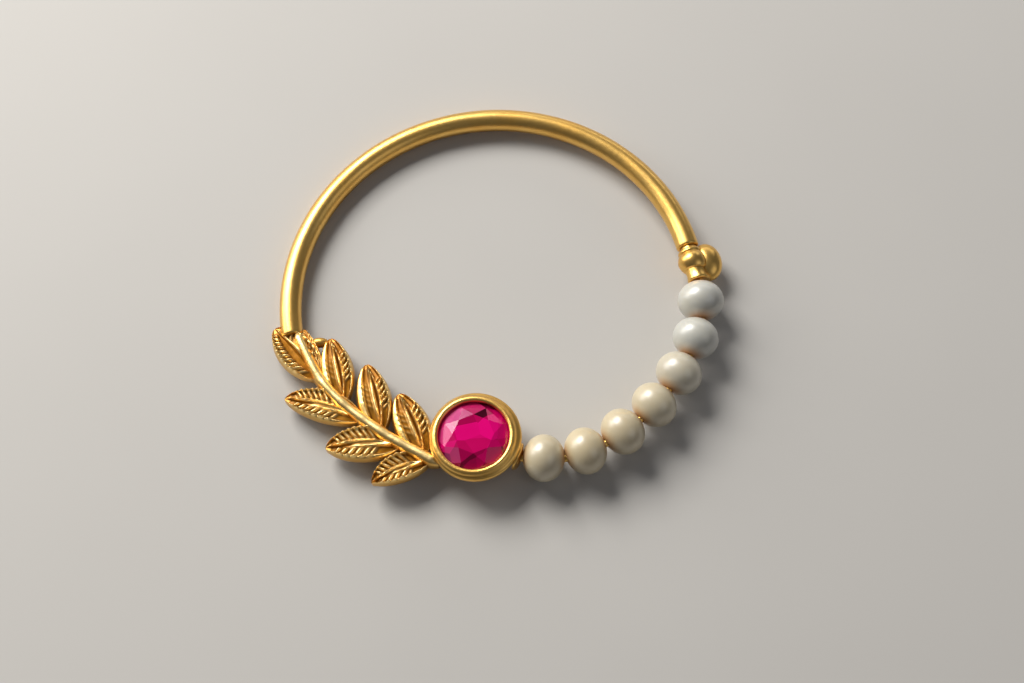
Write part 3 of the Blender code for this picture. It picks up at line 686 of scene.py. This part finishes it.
def leaf_ribs(kind, along, signed):
    """The two ribs of a leaf: their relief, and where each runs across the leaf."""
    arc = 4 * along * (1 - along)
    if kind == "inner":
        main, second = -0.09 * arc, 0.26 * arc ** 0.8
        strengths = (step_up(along, 0.12, 0.2), step_up(along, 0.05, 0.1))
    elif kind == "outer":
        main, second = 0.15 * arc, -0.12 * arc
        strengths = (1.0, 1.0 - step_up(along, 0.45, 0.3))
    else:
        main, second = 0.12 * arc, -0.3 * arc
        strengths = (0.8, 0.0)
    relief = sum(RIB_HEIGHT * strength * hump(signed, place, 0.085)
                 for place, strength in zip((main, second), strengths))
    valley = -0.05 * arc * hump(signed, (main + second) / 2, abs(main - second) / 2 + 0.04)
    return (relief + valley) * min(1.0, 8 * (1.02 - along)), main, second


def leaf_vein(leaf, along, spread, side, start, seed):
    """One side's short slanting veins: their height at a spot, and how far the spot is in their zone."""
    first, last = VEIN_STRETCH[leaf.kind]
    zone = step_up(along, first, 0.1) * (1 - step_up(along, last - 0.1, 0.1))
    zone *= step_up(spread, start + 0.06, 0.16) * (1 - step_up(spread, leaf.bands[side], 0.12))
    phase = (along * leaf.length - VEIN_SLANT * spread) / VEIN_SPACING[leaf.kind][side]
    phase += 0.12 * math.sin(5 * along + seed)
    ridge = (0.5 + 0.5 * math.cos(math.tau * phase)) ** VEIN_SHARPNESS[leaf.kind]
    uneven = 0.85 + 0.15 * math.sin(4 * phase + seed)
    return VEIN_HEIGHT * leaf.veins[side] * (ridge - 0.2) * zone * uneven, zone


def leaf_relief(leaf, along, signed, fade, edge, seed):
    """Rim, ribs, veins and troughs at one spot: their height, its painted shade, and its rubbed polish with
    painted highlight.
    """
    spread, side = abs(signed), int(signed > 0)
    band = leaf.bands[side]
    past_band = max(0.0, (spread - band) / (1 - band))
    rim = RIM_HEIGHT * step_up(spread, band - 0.16, 0.18) * (1 - 0.7 * past_band ** 1.5)
    ribs, main, second = leaf_ribs(leaf.kind, along, signed)
    start = max(main, second) if side else -min(main, second)
    vein, zone = leaf_vein(leaf, along, spread, side, start, seed)
    open_field = step_up(spread, 0.0, 0.1) * (1 - step_up(spread, band - 0.2, 0.2))
    trough = -TROUGH_DEPTH * open_field * (1 - 0.6 * zone)
    # Painted shade: sunken spots are painted darker, and so is the leaf's margin
    sunk = 1.0 - min(1.0, max(0.0, rim + ribs + vein + 0.3 * trough) / 0.13)
    hollow = sunk * (1 - edge) * (0.95 if fade == 1.0 else 0.6) + 0.35 * edge
    # Painted highlight, partly polish from rubbing, on the ribs, the veins and the rim's crest
    crest = 0.6 * step_up(spread, band - 0.12, 0.12) * (1 - step_up(spread, band + 0.02, 0.2))
    worn = min(1.0, max(0.0, ribs + vein) / 0.15 + crest) * fade
    return rim + ribs + vein + trough, hollow, worn


def build_leaf(shell, stem, leaf, seed):
    """One cast leaf as a closed body, in rings from the stem to the tip: the front, then the underside."""
    distance = leaf.place * stem.length
    base = stem.at(distance)
    forward = Matrix.Rotation(math.radians(leaf.turn), 3, "Z") @ -stem.direction(distance)
    side = across(forward)

    def spot(share, shift, level):
        lateral = shift + leaf.bow * leaf.length * 4 * share * (1 - share)
        return base + forward * (share * leaf.length) + side * lateral + Vector((0, 0, level))

    rings, painted_shading, wear_and_highlights = [], [], []
    for j in range(LEAF_ROWS + 1):
        along = 0.012 + 0.978 * (0.5 - 0.5 * math.cos(math.pi * (0.06 + 0.94 * j / LEAF_ROWS)))
        arc = 4 * along * (1 - along)
        ring = []
        for k in range(-LEAF_COLUMNS, LEAF_COLUMNS + 1):
            spread = math.sin(abs(k) / LEAF_COLUMNS * math.pi / 2) ** 0.94
            signed = math.copysign(spread, k)
            share = min(along + 0.1 * arc * spread, 0.992)
            body = leaf_outline(share)
            shift = signed * leaf.halves[int(k > 0)] * body
            fade = min(1.0, 2.6 * body)
            edge = max(0.0, (spread - 0.8) / 0.2)
            relief, hollow, worn = leaf_relief(leaf, along, signed, fade, edge, seed)
            level = 0.5 * LEAF_TIP + (FIELD_LEVEL - 0.5 * LEAF_TIP) * fade + relief * fade * leaf.flatness
            level += LEAF_UNEVENNESS * soft_noise(2 * shift, 1.4 * share * leaf.length, seed)
            level -= LEAF_EDGE_DROP * (1 - math.sqrt(max(0.0, 1 - edge * edge)))
            level -= LEAF_ARCH * (2 * share - 1) ** 2
            ring.append(spot(share, shift, level))
            painted_shading.append(hollow)
            wear_and_highlights.append(worn)
        body = leaf_outline(along)
        for k in range(1, LEAF_UNDERSIDE_COLUMNS):
            v = 1 - 2 * k / LEAF_UNDERSIDE_COLUMNS
            ring.append(spot(along, 0.86 * v * leaf.halves[int(v > 0)] * body,
                             -LEAF_DEPTH * math.sqrt(min(1.0, 2.6 * body))))
            # The underside gets painted shade and no highlight
            painted_shading.append(0.6)
            wear_and_highlights.append(0.0)
        rings.append(ring)
    shell.rings(rings, ends=(base, base + forward * leaf.length), hollow=painted_shading, worn=wear_and_highlights)


def build_stem(shell, stem):
    """The stem: a rounded ridge with a knot where each leaf grows, drawn in at both ends."""
    rings, painted_shading, wear_and_highlights = [], [], []
    steps, sides = 150, 36
    for k in range(steps + 1):
        share = k / steps
        distance = stem.length * share
        point, side = stem.at(distance), across(stem.direction(distance))
        knot = sum(hump(share, leaf.place, 0.02) for leaf in LEAVES)
        to_end = min(1.0, (stem.length - distance + 0.06) / 0.6)
        nose = math.sqrt(to_end) * math.sqrt(min(1.0, (distance + 0.1) / 0.5))
        half = (STEM_HALF_WIDTH + STEM_WIDENING * share + STEM_KNOT * knot) * nose
        tall = STEM_HEIGHT + 0.02 * soft_noise(distance, 0.0, 2)
        ring = []
        for j in range(sides):
            c, v = math.cos(math.tau * j / sides), math.sin(math.tau * j / sides)
            x = math.copysign(half * abs(c) ** 0.85, c)
            z = tall * v ** 0.8 * (0.4 + 0.6 * nose) if v > 0 else STEM_DEPTH * v * nose
            ring.append(point + side * x + Vector((0, 0, z)))
            # Painted shade on the stem's upper flank and underside, and a painted highlight along its top
            # crest
            painted_shading.append(0.4 * hump(v, 0.4, 0.3) if v > 0 else 0.5)
            wear_and_highlights.append(hump(v, 1.0, 0.12))
        rings.append(ring)
    shell.rings(rings, hollow=painted_shading, worn=wear_and_highlights)


def build_sprig(material):
    """Stem, seat of the hoop's tang, the bridge by the first inner leaf, and the leaves."""
    stem = Path(STEM_POINTS)
    shell = Shell()
    build_stem(shell, stem)
    angle = HOOP_ANGLES[0] + hoop_degrees(TANG_SEAT_BACK)
    seat = facing(hoop_point(angle) - Vector((0, 0, TANG_SEAT_SINK)), hoop_heading(angle))
    # Painted shade on the tang's seat and, lighter, on the bridge
    add_egg(shell, seat, TANG_SEAT, hollow=0.8)
    add_egg(shell, facing(flat(BRIDGE_POINT), flat(BRIDGE_WAY)), BRIDGE_SIZE, hollow=0.25)
    for seed, leaf in enumerate(LEAVES, 1):
        build_leaf(shell, stem, leaf, seed)
    return finished(shell.mesh(), "leaf_sprig", material, sharp=70.0)


# Bezel and ruby

def build_bezel(material):
    """The cup: tapering wall, bulging band, a groove, and the lip burnished over the stone."""
    shell = Shell()
    rings, hollow = [], []
    turns = [math.tau * k / CUP_SIDES for k in range(CUP_SIDES)]
    for radius, height, share in smoothed(CUP_OUTSIDE, 2) + list(CUP_INSIDE):
        # Painted shade, given as depth: in the lip's groove, a little on the upper wall, more on the lower
        # wall
        if height > 0.95:
            depth = 0.4 * hump(radius, LIP_GROOVE_RADIUS, 0.05)
        else:
            depth = 0.35 if height < 0.5 else 0.12
        hollow += [depth] * CUP_SIDES
        middle = Vector((*CUP_CENTRE, height)).lerp(Vector((*STONE_CENTRE, height)), share)
        rings.append([middle + radius * Vector((math.cos(turn), math.sin(turn), 0)) for turn in turns])
    ends = (Vector((*CUP_CENTRE, CUP_FLOOR)), Vector((*STONE_CENTRE, CUP_INSIDE[-1][1])))
    shell.rings(rings, ends, hollow=hollow)
    return finished(shell.mesh(), "bezel_cup", material)


def build_saddle(material):
    """The round plate hugging the band, and the soldered neck that the pearl wire starts from."""
    out = flat(SADDLE_OUT).normalized()
    side = across(out)
    shell = Shell()
    rings, sides = [], 64
    for radius, lift in SADDLE_PROFILE:
        ring = []
        for k in range(sides):
            angle = math.tau * k / sides
            x, z = radius * math.cos(angle), radius * math.sin(angle)
            bend = math.sqrt(SADDLE_BEND ** 2 - x * x)
            ring.append(flat(CUP_CENTRE) + side * x + out * (bend + lift + SADDLE_GAP) + Vector((0, 0, z)))
        rings.append(ring)
    shell.rings(rings)
    shell.rings([circle(flat(SADDLE_POINT) + out * depth, out, radius, 48) for depth, radius in NECK_PROFILE])
    return finished(shell.mesh(), "saddle_plate", material)


def build_ruby(material):
    """The stone: table, crown of stars, kites and halves, girdle, and pavilion, each facet flat."""
    eighth = math.tau / 8

    def corner(radius, step, level):
        angle = step * eighth + math.radians(RUBY_TURN)
        return Vector((*STONE_CENTRE, level)) + radius * Vector((math.cos(angle), math.sin(angle), 0.0))

    crown_share = (CROWN_RADIUS * math.cos(eighth / 2) - TABLE_RADIUS) / (RUBY_RADIUS - TABLE_RADIUS)
    crown_level = RUBY_TABLE + (GIRDLE_TOP - RUBY_TABLE) * crown_share
    pavilion_level = RUBY_POINT + (GIRDLE_LOW - RUBY_POINT) * PAVILION_SHARE
    table = [corner(TABLE_RADIUS, k, RUBY_TABLE) for k in range(8)]
    crown = [corner(CROWN_RADIUS, k + 0.5, crown_level) for k in range(8)]
    girdle = [corner(RUBY_RADIUS, k / 2, GIRDLE_TOP) for k in range(16)]
    under = [corner(RUBY_RADIUS, k / 2, GIRDLE_LOW) for k in range(16)]
    pavilion = [corner(PAVILION_RADIUS, k + 0.5, pavilion_level) for k in range(8)]
    point = corner(0.0, 0, RUBY_POINT)
    shell = Shell()

    # Each facet carries its painted light and shade and its painted reflection
    def facet(points, tone, pale=0.0):
        count = len(points)
        shell.add(points, [tuple(range(count))], tone=[tone] * count, pale=[pale] * count)

    facet(table, TABLE_PAINTED_LIGHT)
    for k in range(8):
        n = (k + 1) % 8
        left, middle, right = 2 * k, 2 * k + 1, (2 * k + 2) % 16
        facet((table[k], crown[k], table[n]), *STAR_PAINTED_LIGHT[k])
        facet((table[n], crown[k], girdle[right], crown[n]), *KITE_PAINTED_LIGHT[k])
        facet((crown[k], girdle[left], girdle[middle]), *HALF_PAINTED_LIGHT[2 * k])
        facet((crown[k], girdle[middle], girdle[right]), *HALF_PAINTED_LIGHT[2 * k + 1])
        facet((pavilion[k], under[middle], under[left]), PAVILION_PAINTED_LIGHT[0])
        facet((pavilion[k], under[right], under[middle]), PAVILION_PAINTED_LIGHT[1])
        facet((point, pavilion[n], under[right], pavilion[k]), PAVILION_PAINTED_LIGHT[2])
    for k in range(16):
        n = (k + 1) % 16
        facet((girdle[k], girdle[n], under[n], under[k]), GIRDLE_PAINTED_LIGHT)
    return finished(shell.mesh("CORNER"), "ruby_stone", material, sharp=None)


# Pearls and clasp

def pearl_mesh():
    """One drilled pearl, very slightly out of true, with a painted gold reflection round its drill holes."""
    radius, half = PEARL_DIAMETER / 2, (PEARL_PITCH - PEARL_GAP) / 2
    hole = PEARL_WIRE_DIAMETER / 2 + DRILL_CLEARANCE
    first = math.asin(hole / radius)
    steps, sides = 44, 64
    profile = [(hole, half * math.cos(first) * 0.9)]
    for k in range(steps + 1):
        angle = first + (math.pi - 2 * first) * k / steps
        profile.append((radius * math.sin(angle), half * math.cos(angle)))
    profile.append((hole, -half * math.cos(first) * 0.9))
    shell = Shell()
    rings, warm = [], []
    for width, height in profile:
        ring = []
        for j in range(sides):
            c, s = math.cos(math.tau * j / sides), math.sin(math.tau * j / sides)
            uneven = 1 + 0.004 * soft_noise(c * 2, height + s, 5)
            ring.append(Vector((width * c * uneven, width * s * uneven, height)))
        rings.append(ring)
        # Painted reflection of the gold, strongest at each drill hole
        warm += [max(0.0, (abs(height) / half - 0.62) / 0.38) ** 2.2] * sides
    shell.rings(rings, warm_end=warm)
    return shell.mesh()


def string_tree():
    """Set a model piece on each point of a string, turned along it, a shade different each time."""
    recipe = Recipe("pearls_on_string", Pearl="Object", Size_change="Float", Seed="Int")
    points = recipe.node("GeometryNodeMeshToPoints", {}, Mesh=recipe.given("Geometry"))
    model = recipe.node("GeometryNodeObjectInfo", {}, Object=recipe.given("Pearl"), output="Geometry")
    chance = {"data_type": "FLOAT"}
    size = recipe.node("FunctionNodeRandomValue", chance, None, None, 1.0 - recipe.given("Size change"), 1.0,
                       Seed=recipe.given("Seed"), output=1)
    spin = recipe.node("FunctionNodeRandomValue", chance, None, None, 0.0, math.tau,
                       Seed=recipe.given("Seed"), output=1)
    way = recipe.kept("way", "FLOAT_VECTOR")
    turn = recipe.node("FunctionNodeAlignRotationToVector", {"axis": "Z"}, Vector=way)
    roll = recipe.node("FunctionNodeAxisAngleToRotation", {}, Angle=spin)
    turn = recipe.node("FunctionNodeRotateRotation", {"rotation_space": "LOCAL"}, Rotation=turn,
                       Rotate_By=roll)
    place = recipe.node("GeometryNodeInstanceOnPoints", {}, Points=points, Instance=model, Rotation=turn,
                        Scale=size)
    shaded = recipe.node("GeometryNodeStoreNamedAttribute", {"data_type": "FLOAT", "domain": "INSTANCE"},
                         Geometry=place, Name="pearl_shade", Value=recipe.kept("shade"))
    return recipe.close(shaded)


def pearl_seats(string):
    """Each pearl's middle and its way along the string."""
    half = (PEARL_PITCH - FIT_GAP) / 2
    seats = []
    for k in range(PEARL_COUNT):
        spot = FIT_GAP + PEARL_PITCH * (k + 0.5)
        start, end = string.at(spot - half), string.at(spot + half)
        seats.append(((start + end) / 2, (end - start).normalized()))
    return seats


def build_pearls(string, material):
    """The seven pearls, each a copy of one model on its seat along the string."""
    seats = pearl_seats(string)
    mesh = bpy.data.meshes.new("string")
    mesh.from_pydata([tuple(point) for point, way in seats], [], [])
    ways = mesh.attributes.new("way", "FLOAT_VECTOR", "POINT")
    ways.data.foreach_set("vector", [number for point, way in seats for number in way])
    mesh.attributes.new("shade", "FLOAT", "POINT").data.foreach_set("value", PEARL_SHADES)
    model = placed("pearl_model", pearl_mesh())
    made = run_tree(string_tree(), mesh, Pearl=model, Size_change=PEARL_SIZE_CHANGE, Seed=PEARL_SEED,
                    Finish=material)
    bpy.data.objects.remove(model, do_unlink=True)
    return finished(made, "pearls", material)


def build_pearl_wire(bar, string, material):
    """The gold wire through the pearls, seen only in the gaps between them."""
    count, lead = 90, 0.3
    points = [string.at((string.length + lead) * k / count - lead) for k in range(count + 1)]
    line = line_mesh(points, [1.0] * len(points))
    made = run_tree(bar, line, Diameter=PEARL_WIRE_DIAMETER, Sides=24, Finish=material)
    return finished(made, "pearl_wire", material)


def build_clasp(string, material):
    """Grooved collar, bead and pearl cap turned in one line, with the knob soldered at its side."""
    bead, heading = hoop_point(BEAD_ANGLE), hoop_heading(BEAD_ANGLE)
    first, way = string.at(0.0), string.direction(0.0)
    reach, sides = (first - bead).length, 64
    half = BEAD_DIAMETER / 2
    start, end = (math.radians(angle - BEAD_ANGLE) * HOOP_RADIUS for angle in COLLAR_ANGLES)
    rings = []
    for share, size in COLLAR_PROFILE:
        angle = BEAD_ANGLE + hoop_degrees(start + (start - end) * share)
        rings.append(circle(hoop_point(angle), hoop_heading(angle), COLLAR_DIAMETER / 2 * size, sides))
    places = np.linspace(*BEAD_STRETCH, 25).tolist()
    for place in (place for place in places if place < 0):
        angle = BEAD_ANGLE - hoop_degrees(half * place)
        radius = half * math.sqrt(1 - place * place)
        rings.append(circle(hoop_point(angle), hoop_heading(angle), radius, sides))
    rows = [(half * place / reach, half * math.sqrt(1 - place * place)) for place in places if place >= 0]
    rows += [(share, CAP_DIAMETER / 2 * size) for share, size in CAP_PROFILE]
    for share, radius in rows:
        rings.append(circle(bead.lerp(first, share), heading.lerp(way, share), radius, sides))
    shell = Shell()
    shell.rings(rings, ends=(None, first - way * 0.1))
    out, on, up = KNOB_OFFSET
    knob = bead - across(heading) * out + heading * on + Vector((0, 0, up))
    add_egg(shell, facing(knob, heading), tuple(size / 2 for size in KNOB_SIZE), 64, 48)
    return finished(shell.mesh(), "clasp_fitting", material)


# Studio

def lay_floor():
    """A plain light grey sheet under the ring."""
    work = bmesh.new()
    bmesh.ops.create_grid(work, x_segments=1, y_segments=1, size=FLOOR_HALF_SIZE)
    mesh = bpy.data.meshes.new("floor")
    work.to_mesh(mesh)
    work.free()
    finish = Finish("floor_paper", Roughness=0.85)
    finish.feed("Base Color", finish.mix(finish.noise(30.0), rgb(188, 185, 180), rgb(196, 193, 188)))
    mesh.materials.append(finish.material)
    placed("floor", mesh)


def hang_lights():
    """Softboxes turned to the ring, and a dim even surround."""
    for name, position, size, power, colour in LIGHTS:
        light = bpy.data.lights.new(name, "AREA")
        light.shape = "RECTANGLE"
        light.size, light.size_y = size
        light.energy = power
        light.color = colour
        holder = placed(name, light)
        holder.location = position
        holder.rotation_euler = (-Vector(position)).to_track_quat("-Z", "Y").to_euler()
    world = bpy.data.worlds.new("studio")
    world.use_nodes = True
    surround = world.node_tree.nodes["Background"].inputs
    surround["Color"].default_value = (0.9, 0.92, 1.0, 1.0)
    surround["Strength"].default_value = 0.1
    bpy.context.scene.world = world
    bpy.context.scene.view_settings.view_transform = "Standard"


def set_camera():
    """The camera at the photograph's angle over the ring's own plane."""
    elevation, roll = math.radians(CAMERA_ELEVATION), math.radians(CAMERA_ROLL)
    back = Vector((0.0, -math.cos(elevation), math.sin(elevation)))
    right = Vector((1.0, 0.0, 0.0))
    up = back.cross(right)
    aside = right * math.cos(roll) + up * math.sin(roll)
    upright = up * math.cos(roll) - right * math.sin(roll)
    pose = Matrix((aside, upright, back)).transposed().to_4x4()
    pose.translation = Vector(CAMERA_TARGET) + back * CAMERA_DISTANCE
    camera = bpy.data.cameras.new("camera")
    camera.sensor_width = SENSOR_WIDTH
    camera.lens = SENSOR_WIDTH * CAMERA_FOCUS_PIXELS / PHOTO_WIDTH_PIXELS
    camera.clip_start = 0.001
    holder = placed("camera", camera)
    place, turn, _ = (SETTLE @ pose).decompose()
    holder.location = place
    holder.rotation_euler = turn.to_euler()
    bpy.context.scene.camera = holder


def own(piece, slot, *nodes):
    """Tie a piece to the ring's one body and hide the solids that it stands for; its slot is not used."""
    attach(piece, "root")
    if nodes:
        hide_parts(*nodes)


def main():
    drawn = gold("gold_drawn", 0.36, 0.000012, False)
    cast = gold("gold_cast", 0.36, 0.00003, True)
    polished = gold("gold_polished", 0.34, 0.00001, False)
    nacre = pearl_finish()
    stone = ruby_finish()
    bar = bar_tree()
    string = Path(STRING_POINTS, STRING_START, STRING_END)
    own(build_hoop(bar, drawn), "drawn_gold", "hoop_wire")
    own(build_sprig(cast), "cast_gold", "leaf_sprig_setting")
    own(build_bezel(cast), "cast_gold")
    own(build_saddle(cast), "cast_gold")
    own(build_pearl_wire(bar, string, drawn), "drawn_gold")
    own(build_ruby(stone), "ruby_red", "ruby")
    own(build_pearls(string, nacre), "pearl_cream", *(f"pearl_{k}" for k in range(1, PEARL_COUNT + 1)))
    own(build_clasp(string, polished), "polished_gold", "clasp")
    lay_floor()
    hang_lights()
    set_camera()


main()
